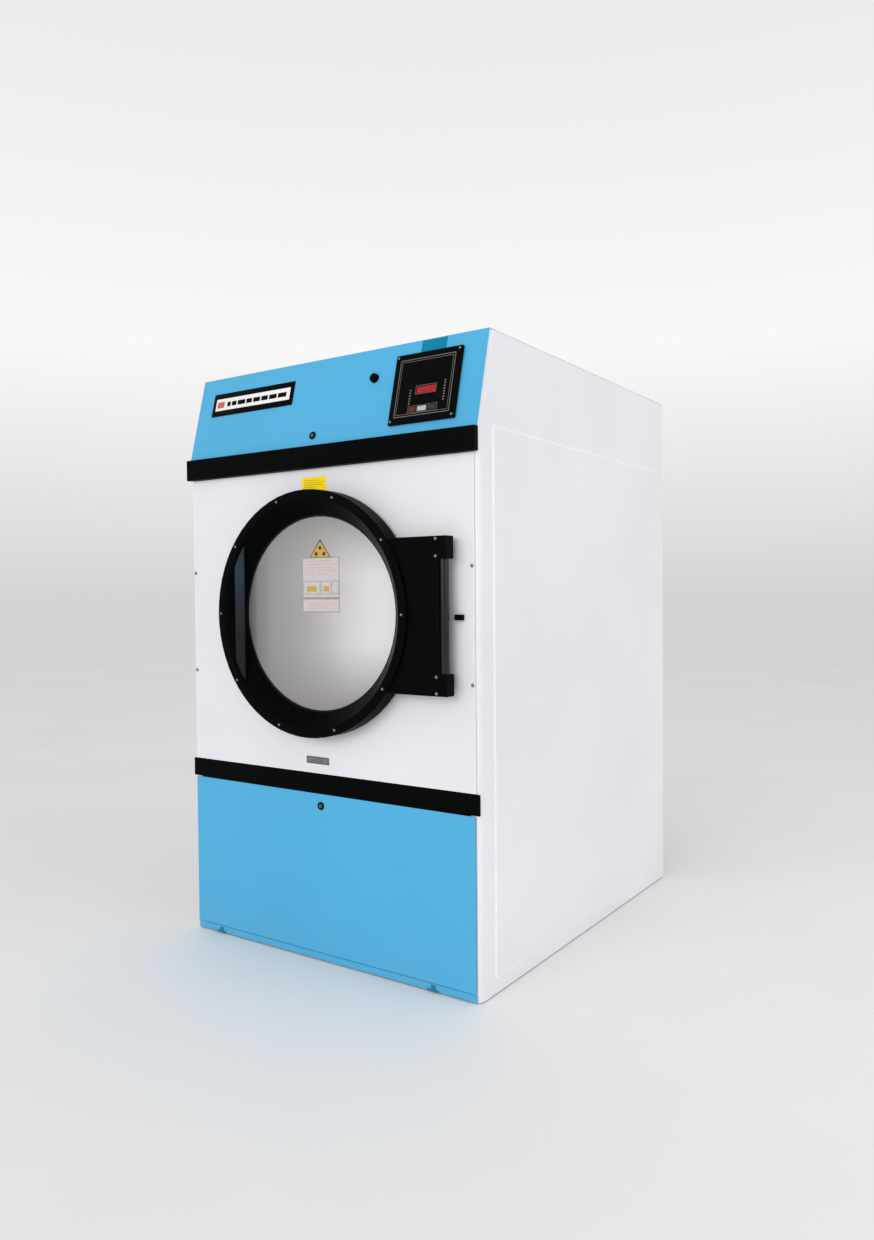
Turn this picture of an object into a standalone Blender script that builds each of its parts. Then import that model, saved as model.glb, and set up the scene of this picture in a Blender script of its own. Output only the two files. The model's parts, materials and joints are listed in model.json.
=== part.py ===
"""Commercial tumble dryer, built as an assembly of separate pieces.

Units are metres, +Z is up and the front faces -Y.  Inside the script a place is given as x,
depth and z, where depth runs back from the front panel's outer face.  The root empty moves
everything so that the origin lies on the floor, under the middle of the bounding box.
"""

import math

import bmesh
import bpy
from mathutils import Matrix, Vector

# ---- driving dimensions ---------------------------------------------------------------------
WIDTH = 1.180
HEIGHT = 1.930
BODY_DEPTH = 1.436      # front panel's outer face to rear panel's outer face
COLLAR_REACH = 0.060    # exhaust collar, behind the rear panel
DOOR_REACH = 0.070      # loading door's face, in front of the front panel

GAP = 0.0003            # left between pieces that touch
SHEET = 0.0015          # thickness of the formed skins
PLATE = 0.0018          # thickness of the flat panels

# ---- cabinet --------------------------------------------------------------------------------
BASE_Z = 0.0035         # the cabinet's lower edge, above the leveling feet
SKIN_FRONT = 0.0045     # depth of the side skins' front flanges
SKIN_HALF = WIDTH / 2 - 0.003
SKIN_TOP = HEIGHT - PLATE - GAP
FRONT_HALF = 0.5765     # half width of the front panel and the kick strip
INNER_HALF = 0.553      # half width of what stands between the side skins' flanges
REAR_PANEL = BODY_DEPTH - PLATE
LOWER_BAR = (0.541, 0.602)
UPPER_BAR = (1.571, 1.641)
KICK_TOP = 0.026
LINT_DOOR = (0.0285, 0.5385)
REAR_SPLIT = 0.617

# The control door's face leans back from the top of the upper bar to the top of the cabinet.
SLOPE_RUN = 0.072
SLOPE_RISE = HEIGHT - UPPER_BAR[1]
SLOPE_TILT = math.atan2(SLOPE_RUN, SLOPE_RISE)
SLOPE_LENGTH = math.hypot(SLOPE_RUN, SLOPE_RISE)
CONTROL_SHEET = 0.003

# ---- loading door ---------------------------------------------------------------------------
DOOR_Z = 1.112
MOUTH_RADIUS = 0.335
NECK_DEPTH = 0.058
RING_RADIUS = 0.386
SIGHT_RADIUS = 0.306
HINGE_X = 0.500
HINGE_DEPTH = -0.040
HINGE_Z = (0.881, 1.335)
BLOCK_INNER_Z = (0.944, 1.270)
HINGE_PLATE_END = 0.4945
DOOR_STEPS = 64

# ---- drum and drive -------------------------------------------------------------------------
DRUM_RADIUS = 0.500
DRUM_FRONT = 0.062
DRUM_BACK = 0.960
SHAFT_RADIUS = 0.025
SHAFT_BORE = 0.0258
BULKHEAD = 1.018
SHEAVE_RADIUS = 0.300
IDLER_SMALL = 0.032
IDLER_LARGE = 0.130
MOTOR_PULLEY = 0.036
DRIVE_X = -0.400
IDLER_Z = 0.720
MOTOR_Z = 0.260
FIRST_BELT = (1.336, 1.354)     # motor to idler
SECOND_BELT = (1.274, 1.306)    # idler to drum
BELT_THICKNESS = 0.006

# ---- blower and exhaust ---------------------------------------------------------------------
BLOWER_X = 0.100
BLOWER_Z = 0.300
BLOWER_RADIUS = 0.190
BLOWER_SPAN = (0.800, 0.980)
EXHAUST_X = 0.400
EXHAUST_Z = 0.270
EXHAUST_RADIUS = 0.1245

FRONT_Y = (DOOR_REACH - BODY_DEPTH - COLLAR_REACH) / 2

FINISHES = {    # base colour, roughness, metallic
    "white_paint": ((0.74, 0.74, 0.77), 0.40, 0.0),
    "blue_paint": ((0.093, 0.418, 0.716), 0.30, 0.0),
    "black_paint": ((0.010, 0.011, 0.011), 0.35, 0.0),
    "black_plastic": ((0.014, 0.014, 0.015), 0.45, 0.0),
    "zinc": ((0.58, 0.59, 0.60), 0.42, 0.85),
    "stainless": ((0.62, 0.62, 0.61), 0.28, 1.0),
    "cast_iron": ((0.10, 0.10, 0.11), 0.65, 0.6),
    "motor_grey": ((0.22, 0.24, 0.26), 0.50, 0.2),
    "rubber": ((0.016, 0.016, 0.017), 0.80, 0.0),
    "glass": ((0.52, 0.51, 0.51), 0.10, 0.0),
    "red_plastic": ((0.50, 0.020, 0.025), 0.35, 0.0),
    "white_plastic": ((0.80, 0.80, 0.80), 0.40, 0.0),
    "green_plastic": ((0.010, 0.110, 0.045), 0.40, 0.0),
    "red_display": ((0.371, 0.027, 0.037), 0.15, 0.0),
}


# ---- scene ----------------------------------------------------------------------------------
def clear_scene():
    for old in list(bpy.data.objects):
        bpy.data.objects.remove(old, do_unlink=True)


def new_collection(name):
    collection = bpy.data.collections.new(name)
    bpy.context.scene.collection.children.link(collection)
    return collection


clear_scene()
PARTS = new_collection("tumble_dryer")
CUTTERS = new_collection("cutters")


class Frame:
    """An empty, and the point of its own that the places of its pieces are measured from."""

    def __init__(self, name, place=(0, 0, 0), tilt=0.0, zero=None, parent=None):
        self.empty = bpy.data.objects.new(name, None)
        self.zero = Vector(place if zero is None else zero)
        PARTS.objects.link(self.empty)
        if parent:
            parent.attach(self.empty)
        self.empty.location = place
        self.empty.rotation_euler = (tilt, 0, 0)

    def attach(self, piece):
        piece.parent = self.empty
        piece.matrix_parent_inverse = Matrix.Translation(-self.zero)


def finish(piece, kind):
    """Give the piece a material of its own."""
    colour, roughness, metallic = FINISHES[kind]
    material = bpy.data.materials.new(f"{piece.name}_{kind}")
    material.use_nodes = True
    shader = material.node_tree.nodes["Principled BSDF"]
    shader.inputs["Base Color"].default_value = (*colour, 1.0)
    shader.inputs["Roughness"].default_value = roughness
    shader.inputs["Metallic"].default_value = metallic
    piece.data.materials.append(material)


def add_piece(name, mesh, frame, kind):
    piece = bpy.data.objects.new(name, mesh)
    PARTS.objects.link(piece)
    frame.attach(piece)
    finish(piece, kind)
    return piece


def mesh_from(bm, name):
    """Turn a bmesh of closed shells into a mesh with flat faces flat and round ones smooth."""
    bmesh.ops.recalc_face_normals(bm, faces=bm.faces)
    mesh = bpy.data.meshes.new(name)
    bm.to_mesh(mesh)
    bm.free()
    mesh.shade_smooth()
    mesh.set_sharp_from_angle(angle=math.radians(35))
    return mesh


def add_box(bm, x, depth, z):
    """Add a box that spans three (low, high) ranges."""
    ranges = (x, depth, z)
    size = [high - low for low, high in ranges]
    centre = [(high + low) / 2 for low, high in ranges]
    matrix = Matrix.Translation(centre) @ Matrix.Diagonal((*size, 1))
    bmesh.ops.create_cube(bm, size=1.0, matrix=matrix)


def add_rod(bm, radius, centre, span, axis="Y", segments=32, end_radius=None):
    """Add a rod along Y or Z; centre holds its other two coordinates, span its two ends."""
    middle = (span[0] + span[1]) / 2
    if axis == "Y":
        place = Matrix.Translation((centre[0], middle, centre[1]))
        place = place @ Matrix.Rotation(-math.pi / 2, 4, "X")
    else:
        place = Matrix.Translation((centre[0], centre[1], middle))
    bmesh.ops.create_cone(
        bm, cap_ends=True, segments=segments, radius1=radius,
        radius2=radius if end_radius is None else end_radius,
        depth=span[1] - span[0], matrix=place)


def box(name, x, depth, z, frame, kind, bevel=0.0):
    bm = bmesh.new()
    add_box(bm, x, depth, z)
    piece = add_piece(name, mesh_from(bm, name), frame, kind)
    if bevel:
        round_edges(piece, bevel)
    return piece


def round_edges(piece, width, segments=1):
    bevel = piece.modifiers.new("edges", "BEVEL")
    bevel.width = width
    bevel.segments = segments
    bevel.limit_method = "ANGLE"


def rod(name, radius, centre, span, frame, kind, **options):
    bm = bmesh.new()
    add_rod(bm, radius, centre, span, **options)
    return add_piece(name, mesh_from(bm, name), frame, kind)


def turned(name, outline, frame, kind, centre, steps=48, solid=False):
    """Turn a (radius, depth) outline about a line along Y through centre, which is (x, z).

    The outline starts at its inner front corner and runs along the front, then back along
    the outer side.  A solid piece's outline starts and ends on the axis and isn't closed.
    """
    count = len(outline)
    verts = [(radius, 0, -depth) for radius, depth in outline]
    edges = [(i, i + 1) for i in range(count - 1)]
    if not solid:
        edges.append((count - 1, 0))
    mesh = bpy.data.meshes.new(name)
    mesh.from_pydata(verts, edges, [])
    piece = add_piece(name, mesh, frame, kind)
    piece.location = (centre[0], 0, centre[1])
    piece.rotation_euler = (math.pi / 2, 0, 0)
    screw = piece.modifiers.new("turn", "SCREW")
    screw.axis = "Z"
    screw.angle = math.tau
    screw.steps = steps
    screw.render_steps = steps
    screw.use_merge_vertices = True
    screw.merge_threshold = 0.00001
    screw.use_smooth_shade = True
    return piece


def tool(name, bm, frame):
    """A cutter or a joining body, which is kept out of the finished piece list."""
    shape = bpy.data.objects.new(name, mesh_from(bm, name))
    CUTTERS.objects.link(shape)
    frame.attach(shape)
    shape.hide_render = True
    shape.display_type = "WIRE"
    return shape


def combine(piece, shape, operation):
    boolean = piece.modifiers.new(shape.name, "BOOLEAN")
    boolean.operation = operation
    boolean.object = shape


def join_boxes(piece, frame, *boxes):
    for number, ranges in enumerate(boxes, 1):
        bm = bmesh.new()
        add_box(bm, *ranges)
        combine(piece, tool(f"{piece.name}_body_{number}", bm, frame), "UNION")


def cut_boxes(piece, frame, boxes, label="slots"):
    bm = bmesh.new()
    for ranges in boxes:
        add_box(bm, *ranges)
    combine(piece, tool(f"{piece.name}_{label}", bm, frame), "DIFFERENCE")


def cut_rod(piece, frame, label, *rod, **options):
    bm = bmesh.new()
    add_rod(bm, *rod, **options)
    combine(piece, tool(f"{piece.name}_{label}", bm, frame), "DIFFERENCE")


def join_rod(piece, frame, label, *rod, **options):
    bm = bmesh.new()
    add_rod(bm, *rod, **options)
    combine(piece, tool(f"{piece.name}_{label}", bm, frame), "UNION")


# ---- cabinet --------------------------------------------------------------------------------
def plan_section():
    """Side skin in plan: (distance in from the border plane, depth from the front line, raised).

    It runs from the front flange round the soft front corner, over the raised field and
    round to the rear flange.
    """
    flange = 0.030
    corner_width, corner_depth = 0.012, 0.030
    field_front, field_back, field_bevel = 0.084, 1.352, 0.004
    rear = REAR_PANEL - GAP - SKIN_FRONT
    section = [(flange, 0.0, 0)]
    corner_points = 6
    for i in range(corner_points + 1):
        turn = math.pi / 2 * i / corner_points
        section.append((corner_width * (1 - math.sin(turn)), corner_depth * (1 - math.cos(turn)), 0))
    section.append((0.0, field_front - field_bevel, 0))
    section.append((0.0, field_front, 1))
    section.append((0.0, field_back, 1))
    section.append((0.0, field_back + field_bevel, 0))
    section.append((0.0, rear, 0))
    section.append((flange, rear, 0))
    return section


def side_panel(name, side, frame):
    """Lofted skin: the section's front follows the slope above the upper bar."""
    raised = WIDTH / 2 - SKIN_HALF
    field_low, field_high, field_bevel = 0.052, 1.650, 0.004
    levels = [(BASE_Z, 0), (field_low - field_bevel, 0), (field_low, 1), (UPPER_BAR[1], 1),
              (field_high, 1), (field_high + field_bevel, 0), (SKIN_TOP, 0)]
    section = plan_section()
    bm = bmesh.new()
    rows = []
    for z, in_field in levels:
        lean = max(0.0, z - UPPER_BAR[1]) * SLOPE_RUN / SLOPE_RISE
        row = []
        for inward, depth, lifted in section:
            x = SKIN_HALF - inward + raised * lifted * in_field
            shift = lean if depth < BODY_DEPTH / 2 else 0.0
            row.append(bm.verts.new((side * x, SKIN_FRONT + depth + shift, z)))
        rows.append(row)
    for lower, upper in zip(rows, rows[1:]):
        for i in range(len(section) - 1):
            corners = (lower[i], lower[i + 1], upper[i + 1], upper[i])
            bm.faces.new(corners if side > 0 else corners[::-1])
    mesh = bpy.data.meshes.new(name)
    bm.to_mesh(mesh)
    bm.free()
    mesh.shade_smooth()
    piece = add_piece(name, mesh, frame, "white_paint")
    thicken = piece.modifiers.new("sheet", "SOLIDIFY")
    thicken.thickness = SHEET
    thicken.offset = -1.0
    return piece


def base_and_feet(frame):
    wall = 0.002
    span = (0.012, 1.428)
    pan = box("base_pan", (-INNER_HALF, INNER_HALF), span, (BASE_Z, 0.050), frame, "zinc")
    cut_boxes(pan, frame, [((-INNER_HALF + wall, INNER_HALF - wall),
                            (span[0] + wall, span[1] - wall), (BASE_Z + wall, 0.060))], "well")
    for side, x in (("left", -0.49), ("right", 0.49)):
        for end, depth in (("front", 0.080), ("rear", 1.360)):
            rod(f"foot_{end}_{side}", 0.030, (x, depth), (0.0, BASE_Z - GAP), frame, "rubber",
                axis="Z", segments=24, end_radius=0.022)
    box("kick_strip", (-FRONT_HALF, FRONT_HALF), (0.0, PLATE), (BASE_Z, KICK_TOP), frame,
        "blue_paint", bevel=0.0008)


def front_panel(frame):
    """Flat sheet with the round mouth, and the flanged neck from there towards the drum."""
    mouth = (0.0, DOOR_Z)
    panel = box("front_panel", (-FRONT_HALF, FRONT_HALF), (0.0, PLATE),
                (LOWER_BAR[1] + 0.001, UPPER_BAR[0] - 0.001), frame, "white_paint")
    cut_rod(panel, frame, "mouth", MOUTH_RADIUS, mouth, (-0.01, 0.01), segments=DOOR_STEPS)
    seat, flange = PLATE + GAP, 0.016
    turned("mouth_neck", [(MOUTH_RADIUS, seat), (MOUTH_RADIUS + flange, seat),
                          (MOUTH_RADIUS + flange, seat + SHEET),
                          (MOUTH_RADIUS + SHEET, seat + SHEET),
                          (MOUTH_RADIUS + SHEET, NECK_DEPTH), (MOUTH_RADIUS, NECK_DEPTH)],
           frame, "zinc", mouth, steps=DOOR_STEPS)


def trim_bars(frame):
    half = WIDTH / 2
    front, wall = -0.018, 0.002
    upper = box("upper_trim_bar", (-half, half), (front, SKIN_FRONT - GAP), UPPER_BAR, frame,
                "black_paint", bevel=wall)
    cut_boxes(upper, frame, [((wall - half, half - wall), (front + wall, SKIN_FRONT + wall),
                              (UPPER_BAR[0] + wall, UPPER_BAR[1] - wall))], "channel")
    box("lower_trim_bar", (-half, half), (-0.002, SKIN_FRONT - GAP), LOWER_BAR, frame,
        "black_paint", bevel=0.0015)


def top_and_rear(frame):
    top_half = WIDTH / 2 - 0.0005
    rear_half = SKIN_HALF - 0.002
    cover = box("top_cover", (-top_half, top_half), (0.0765, BODY_DEPTH - 0.0005),
                (HEIGHT - PLATE, HEIGHT), frame, "white_paint")
    round_edges(cover, 0.0008)
    upper = box("rear_upper_panel", (-rear_half, rear_half), (REAR_PANEL, BODY_DEPTH),
                (REAR_SPLIT + 0.001, HEIGHT - PLATE - 0.001), frame, "zinc")
    slot_length, slot_height, slot_pitch = 0.150, 0.010, 0.035
    banks = [(x, 1.500 + slot_pitch * row) for x in (-0.30, 0.0, 0.30) for row in range(8)]
    cut_boxes(upper, frame, [((x - slot_length / 2, x + slot_length / 2),
                              (REAR_PANEL - 0.01, BODY_DEPTH + 0.01),
                              (z, z + slot_height)) for x, z in banks])
    lower = box("rear_lower_panel", (-rear_half, rear_half), (REAR_PANEL, BODY_DEPTH),
                (BASE_Z + 0.002, REAR_SPLIT - 0.001), frame, "zinc")
    cut_rod(lower, frame, "exhaust_hole", EXHAUST_RADIUS + 0.002, (EXHAUST_X, EXHAUST_Z),
            (REAR_PANEL - 0.01, BODY_DEPTH + 0.01), segments=48)


# ---- loading door ---------------------------------------------------------------------------
def hinge_post(frame):
    """Vertical post with a pin at each end, on a Z-shaped bracket behind the hinge plate."""
    axis = (HINGE_X, HINGE_DEPTH)
    low, high = BLOCK_INNER_Z
    clear = 0.0008
    bm = bmesh.new()
    add_rod(bm, 0.014, axis, (low + clear, high - clear), axis="Z", segments=24)
    post = add_piece("hinge_post", mesh_from(bm, "hinge_post"), frame, "black_paint")
    join_rod(post, frame, "pins", 0.006, axis, (low - 0.032, high + 0.032), axis="Z", segments=24)
    bracket_z = (0.955, 1.259)
    leg_x, arm_depth = (0.446, 0.452), (HINGE_DEPTH - 0.003, HINGE_DEPTH + 0.003)
    join_boxes(post, frame,
               ((leg_x[0], HINGE_X), arm_depth, bracket_z),
               (leg_x, (arm_depth[0], -0.003), bracket_z),
               ((leg_x[0] - 0.022, leg_x[1]), (-0.0045, -GAP), bracket_z))


def door_ring(frame):
    """Hollow funnel: a flat face, an outer rim and a cone that runs in to the glass."""
    face = -DOOR_REACH
    rim_back, flange_back = -0.012, -0.010
    wall = 0.003
    outline = [
        (0.3560, face + 0.003), (0.3600, face), (RING_RADIUS - 0.004, face),
        (RING_RADIUS, face + 0.0035), (RING_RADIUS, rim_back), (RING_RADIUS - wall, rim_back),
        (RING_RADIUS - wall, face + 0.004), (0.3605, face + 0.004),
        (SIGHT_RADIUS + 0.0105, flange_back - 0.0025), (0.3750, flange_back - 0.0025),
        (0.3750, flange_back), (SIGHT_RADIUS + 0.0055, flange_back),
        (SIGHT_RADIUS + 0.0055, flange_back - 0.003)]
    turned("door_ring", outline, frame, "black_paint", (0, DOOR_Z), steps=DOOR_STEPS)


def door_glazing(frame):
    glass_front, glass_back = -0.006, 0.0
    glass_radius = 0.3235
    lip = 0.003
    front, back = -0.0097, glass_back + GAP + lip
    turned("door_glass", [(0, glass_front), (glass_radius, glass_front),
                          (glass_radius, glass_back), (0, glass_back)],
           frame, "glass", (0, DOOR_Z), steps=DOOR_STEPS, solid=True)
    channel = glass_radius + 0.0006
    turned("glass_gasket", [(SIGHT_RADIUS, front), (0.330, front), (0.330, back),
                            (SIGHT_RADIUS, back), (SIGHT_RADIUS, glass_back + GAP),
                            (channel, glass_back + GAP), (channel, glass_front - GAP),
                            (SIGHT_RADIUS, glass_front - GAP)],
           frame, "rubber", (0, DOOR_Z), steps=DOOR_STEPS)
    turned("door_seal", [(0.340, front), (0.372, front), (0.372, -0.004), (0.366, -0.0005),
                         (0.346, -0.0005), (0.340, -0.004)],
           frame, "rubber", (0, DOOR_Z), steps=DOOR_STEPS)


def door_hardware(frame):
    """Hinge plate, hinge blocks and the pull handle across the ring's left side."""
    plate_front, plate_back = -0.060, -0.056
    plate = box("door_hinge_plate", (0.260, HINGE_PLATE_END), (plate_front, plate_back), HINGE_Z,
                frame, "black_paint")
    cut_rod(plate, frame, "ring_seat", RING_RADIUS + 0.001, (0, DOOR_Z), (-0.08, -0.03),
            segments=DOOR_STEPS)
    levels = {"lower": (HINGE_Z[0], BLOCK_INNER_Z[0]), "upper": (BLOCK_INNER_Z[1], HINGE_Z[1])}
    for end, level in levels.items():
        block = box(f"hinge_block_{end}", (0.462, 0.521), (plate_back + GAP, -0.022), level,
                    frame, "black_paint")
        join_boxes(block, frame, ((HINGE_PLATE_END + GAP, 0.521), (plate_front, -0.054), level))
        cut_rod(block, frame, "pin_hole", 0.0067, (HINGE_X, HINGE_DEPTH), (0.85, 1.36), axis="Z",
                segments=24)

    handle = box("door_handle", (-0.311, -0.269), (-0.0655, -0.0575), (0.85, 1.37), frame,
                 "black_paint")
    bm = bmesh.new()
    add_rod(bm, 0.3465, (0, DOOR_Z), (-0.08, -0.04), segments=DOOR_STEPS)
    combine(handle, tool("door_handle_ends", bm, frame), "INTERSECT")
    round_edges(handle, 0.0025)


# ---- control door ---------------------------------------------------------------------------
def lock_cylinder(name, place, head_front, frame, cam_up):
    """Round lock with a cam behind its panel; the cam points up or down."""
    x, z = place
    head = 0.0036
    barrel = 0.0165
    outline = [(0, head_front), (0.0110, head_front), (0.0125, head_front + 0.0012),
               (0.0125, head_front + head), (0.0100, head_front + head),
               (0.0100, head_front + barrel), (0, head_front + barrel)]
    lock = turned(name, outline, frame, "stainless", place, steps=24, solid=True)
    reach = (-0.007, 0.023) if cam_up else (-0.023, 0.007)
    join_boxes(lock, frame, ((x - 0.006, x + 0.006),
                             (head_front + barrel - 0.003, head_front + barrel),
                             (z + reach[0], z + reach[1])))


def control_door(frame):
    """Everything on the sloped door, with z measured up the slope and depth square to it."""
    half = 0.588
    panel = box("control_door_panel", (-half, half), (0.0, CONTROL_SHEET),
                (0.0007, SLOPE_LENGTH - 0.0003), frame, "blue_paint", bevel=0.0008)
    button, lock = (0.193, 0.198), (-0.028, 0.036)
    cut_rod(panel, frame, "button_hole", 0.0150, button, (-0.02, 0.02), segments=24)
    cut_rod(panel, frame, "lock_hole", 0.0108, lock, (-0.02, 0.02), segments=24)

    bezel = box("keypad_bezel", (0.275, 0.512), (-0.0103, -GAP), (0.031, 0.2535), frame,
                "black_plastic", bevel=0.002)
    window_x, window_z, margin = (0.3670, 0.4340), (0.1210, 0.1415), 0.0008
    keys_z = (0.0640, 0.0790)
    keys_x = {"key_red": (0.3475, 0.3740), "key_white": (0.3780, 0.4110),
              "key_green": (0.4150, 0.4450)}
    through = (-0.02, 0.01)
    holes = [((low - margin, high + margin), through, (keys_z[0] - margin, keys_z[1] + margin))
             for low, high in keys_x.values()]
    holes.append(((window_x[0] - margin, window_x[1] + margin), through,
                  (window_z[0] - margin, window_z[1] + margin)))
    cut_boxes(bezel, frame, holes, "windows")
    box("display_window", window_x, (-0.0090, -0.0015), window_z, frame, "red_display")
    key_kinds = {"key_red": "red_plastic", "key_white": "white_plastic",
                 "key_green": "green_plastic"}
    for name, span in keys_x.items():
        box(name, span, (-0.0122, -0.0030), keys_z, frame, key_kinds[name], bevel=0.0012)
    turned("panel_button", [(0, -0.0110), (0.0120, -0.0110), (0.0138, -0.0095),
                            (0.0138, 0.0060), (0, 0.0060)],
           frame, "black_plastic", button, steps=24, solid=True)
    lock_cylinder("control_lock", lock, -0.0040, frame, cam_up=False)


def lint_door(frame):
    """Drop-down door over the lint compartment, with two stiffeners behind it."""
    front = -0.004
    back = -0.0005
    half, fold = 0.575, 0.0016
    panel = box("lint_door_panel", (-half, half), (front, back), LINT_DOOR, frame,
                "blue_paint", bevel=0.0010)
    cut_boxes(panel, frame, [((fold - half, half - fold), (front + fold, back + fold),
                              (LINT_DOOR[0] + fold, LINT_DOOR[1] - fold))], "pan")
    join_boxes(panel, frame, *[((x - 0.02, x + 0.02), (front + fold / 2, 0.010), (0.09, 0.48))
                               for x in (-0.28, 0.28)])
    place = (0.0, 0.501)
    cut_rod(panel, frame, "lock_hole", 0.0108, place, (-0.02, 0.02), segments=24)
    lock_cylinder("lint_lock", place, -0.0080, frame, cam_up=True)


def door_switch(frame):
    """Switch beside the hinge post, with a plunger that slides into it."""
    x, z = 0.529, 1.104
    front = -0.015
    housing = box("door_switch_housing", (x - 0.013, x + 0.013), (front, -GAP),
                  (z - 0.008, z + 0.008), frame, "black_plastic", bevel=0.0012)
    bore_end = -0.0045
    cut_rod(housing, frame, "bore", 0.0045, (x, z), (front - 0.01, bore_end), segments=24)
    turned("door_switch_plunger", [(0, front - 0.0045), (0.003, front - 0.0045),
                                   (0.0038, front - 0.0035), (0.0038, bore_end - 0.0046),
                                   (0, bore_end - 0.0046)],
           frame, "black_plastic", (x, z), steps=16, solid=True)


# ---- drum and drive -------------------------------------------------------------------------
def drum(frame):
    axis = (0, DOOR_Z)
    inner = DRUM_RADIUS - SHEET
    lip, bottom = 0.345, DRUM_BACK - 0.0025
    turned("drum_shell", [(0, bottom), (inner, bottom), (inner, DRUM_FRONT + SHEET),
                          (lip, DRUM_FRONT + SHEET), (lip, DRUM_FRONT),
                          (DRUM_RADIUS, DRUM_FRONT), (DRUM_RADIUS, DRUM_BACK), (0, DRUM_BACK)],
           frame, "stainless", axis, steps=64, solid=True)
    hub_front, hub_back = DRUM_BACK + GAP, DRUM_BACK + 0.012
    turned("drum_shaft", [(0, hub_front), (0.110, hub_front), (0.110, hub_back),
                          (0.060, hub_back + 0.006), (SHAFT_RADIUS, hub_back + 0.020),
                          (SHAFT_RADIUS, 1.345), (0, 1.345)],
           frame, "cast_iron", axis, steps=32, solid=True)
    bore, hub, web_in = SHAFT_BORE, 0.050, SHEAVE_RADIUS - 0.014
    front, back = 1.270, 1.310
    web_front, web_back = 1.286, 1.294
    turned("drum_sheave", [(bore, front), (hub, front), (hub, web_front), (web_in, web_front),
                           (web_in, front), (SHEAVE_RADIUS, front), (SHEAVE_RADIUS, back),
                           (web_in, back), (web_in, web_back), (hub, web_back), (hub, back),
                           (bore, back)],
           frame, "cast_iron", axis, steps=48)
    drum_ribs(frame)


def rib_body(wall):
    """Tapered lifter at the bottom of the drum, made smaller all round by wall but not below."""
    base, crown = -0.4945, -0.4395
    base_width, crown_width = 0.075 - 2 * wall, 0.035 - 2 * wall
    bm = bmesh.new()
    add_box(bm, (-base_width / 2, base_width / 2), (0.090 + wall, 0.935 - wall),
            (base - wall, crown - wall))
    for vert in bm.verts:
        if vert.co.z > (base + crown) / 2:
            vert.co.x *= crown_width / base_width
    return bm


def drum_ribs(frame):
    """Four lifters along the drum wall, folded from sheet and open towards the wall."""
    for number in range(4):
        name = f"drum_rib_{number + 1}"
        rib = add_piece(name, mesh_from(rib_body(0.0), name), frame, "stainless")
        hollow = tool(f"{name}_hollow", rib_body(0.002), frame)
        for shape in (rib, hollow):
            shape.location = (0, 0, DOOR_Z)
            shape.rotation_euler = (0, math.tau * (number + 0.5) / 4, 0)
        combine(rib, hollow, "DIFFERENCE")


def bearings(frame):
    axis = (0, DOOR_Z)
    bulkhead = box("rear_bulkhead", (-INNER_HALF, INNER_HALF), (BULKHEAD, BULKHEAD + 0.003),
                   (0.605, 1.620), frame, "zinc")
    cut_rod(bulkhead, frame, "shaft_hole", 0.058, axis, (BULKHEAD - 0.01, BULKHEAD + 0.02))
    seat = BULKHEAD + 0.003 + GAP
    tube_end = 1.215
    turned("bearing_housing", [(0.0457, seat), (0.150, seat), (0.150, seat + 0.010),
                               (0.070, seat + 0.016), (0.065, tube_end), (0.0457, tube_end)],
           frame, "cast_iron", axis, steps=32)
    turned("shaft_bearing", [(SHAFT_BORE, 1.030), (0.045, 1.030), (0.045, 1.205),
                             (SHAFT_BORE, 1.205)],
           frame, "stainless", axis, steps=32)


def belt_outline(first, first_radius, second, second_radius):
    """Tangent loop round two circles in the x, z plane, as points in order."""
    first, second = Vector(first), Vector(second)
    span = second - first
    heading = math.atan2(span.y, span.x)
    spread = math.acos((first_radius - second_radius) / span.length)
    points = []
    for centre, radius, start, sweep, count in (
            (first, first_radius, heading + spread, math.tau - 2 * spread, 40),
            (second, second_radius, heading - spread, 2 * spread, 14)):
        for i in range(count + 1):
            turn = start + sweep * i / count
            points.append(centre + radius * Vector((math.cos(turn), math.sin(turn))))
    return points


def belt(name, pulleys, span, frame):
    """Closed loop with the thickness outside; pulleys holds two (centre, radius) pairs."""
    slack = 0.0015
    (first, first_radius), (second, second_radius) = pulleys
    loop = belt_outline(first, first_radius + slack, second, second_radius + slack)
    bm = bmesh.new()
    front = [bm.verts.new((point.x, span[0], point.y)) for point in loop]
    back = [bm.verts.new((point.x, span[1], point.y)) for point in loop]
    for i in range(len(loop)):
        j = (i + 1) % len(loop)
        bm.faces.new((front[i], back[i], back[j], front[j]))
    mesh = bpy.data.meshes.new(name)
    bm.to_mesh(mesh)
    bm.free()
    piece = add_piece(name, mesh, frame, "rubber")
    thicken = piece.modifiers.new("belt", "SOLIDIFY")
    thicken.thickness = BELT_THICKNESS
    thicken.offset = 1.0
    thicken.use_even_offset = True
    return piece


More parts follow.
